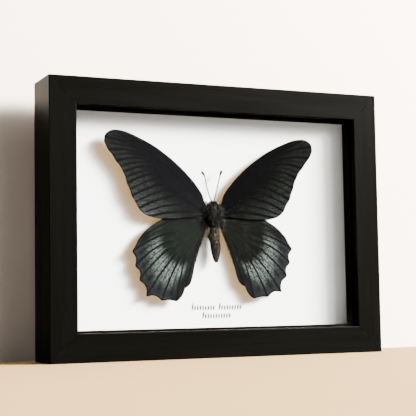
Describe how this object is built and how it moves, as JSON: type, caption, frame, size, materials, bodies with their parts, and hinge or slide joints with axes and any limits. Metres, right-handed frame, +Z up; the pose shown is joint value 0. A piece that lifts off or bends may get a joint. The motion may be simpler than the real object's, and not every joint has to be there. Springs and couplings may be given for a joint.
{
  "type": "framed butterfly specimen",
  "caption": "Dried black butterfly with spread wings behind glass in a small black wooden shadow-box frame that stands or hangs.",
  "frame": {"origin": "bottom centre of the whole object's box: on the surface under the bottom rail, halfway along it, and halfway between the frame's front face and the faces of the wall bumpers", "axes": "+X to the right of a viewer who faces the specimen, +Y away from the viewer into the wall, +Z up"},
  "size_m": [0.203, 0.0316, 0.1536],
  "materials": {
    "frame_wood": "satin",
    "picture_glass": "gloss",
    "liner": "matte",
    "mount_paper": "matte",
    "riser_foam": "matte",
    "hardboard": "matte",
    "plated_steel": "satin",
    "bumper_rubber": "matte",
    "wing_scales": "matte",
    "body_fur": "matte"
  },
  "bodies": {
    "root": {"top_rail": "frame_wood", "bottom_rail": "frame_wood", "left_rail": "frame_wood", "right_rail": "frame_wood", "glass_pane": "picture_glass", "top_liner": "liner", "bottom_liner": "liner", "left_liner": "liner", "right_liner": "liner", "mount_board": "mount_paper", "riser_block": "riser_foam", "back_panel": "hardboard", "panel_point_1": "plated_steel", "panel_point_2": "plated_steel", "panel_point_3": "plated_steel", "panel_point_4": "plated_steel", "panel_point_5": "plated_steel", "panel_point_6": "plated_steel", "sawtooth_hanger": "plated_steel", "hanger_nail_left": "plated_steel", "hanger_nail_right": "plated_steel", "wall_bumper_left": "bumper_rubber", "wall_bumper_right": "bumper_rubber", "butterfly_body": "body_fur", "left_forewing": "wing_scales", "right_forewing": "wing_scales", "left_hindwing": "wing_scales", "right_hindwing": "wing_scales", "left_antenna": "body_fur", "right_antenna": "body_fur"}
  },
  "joints": []
}
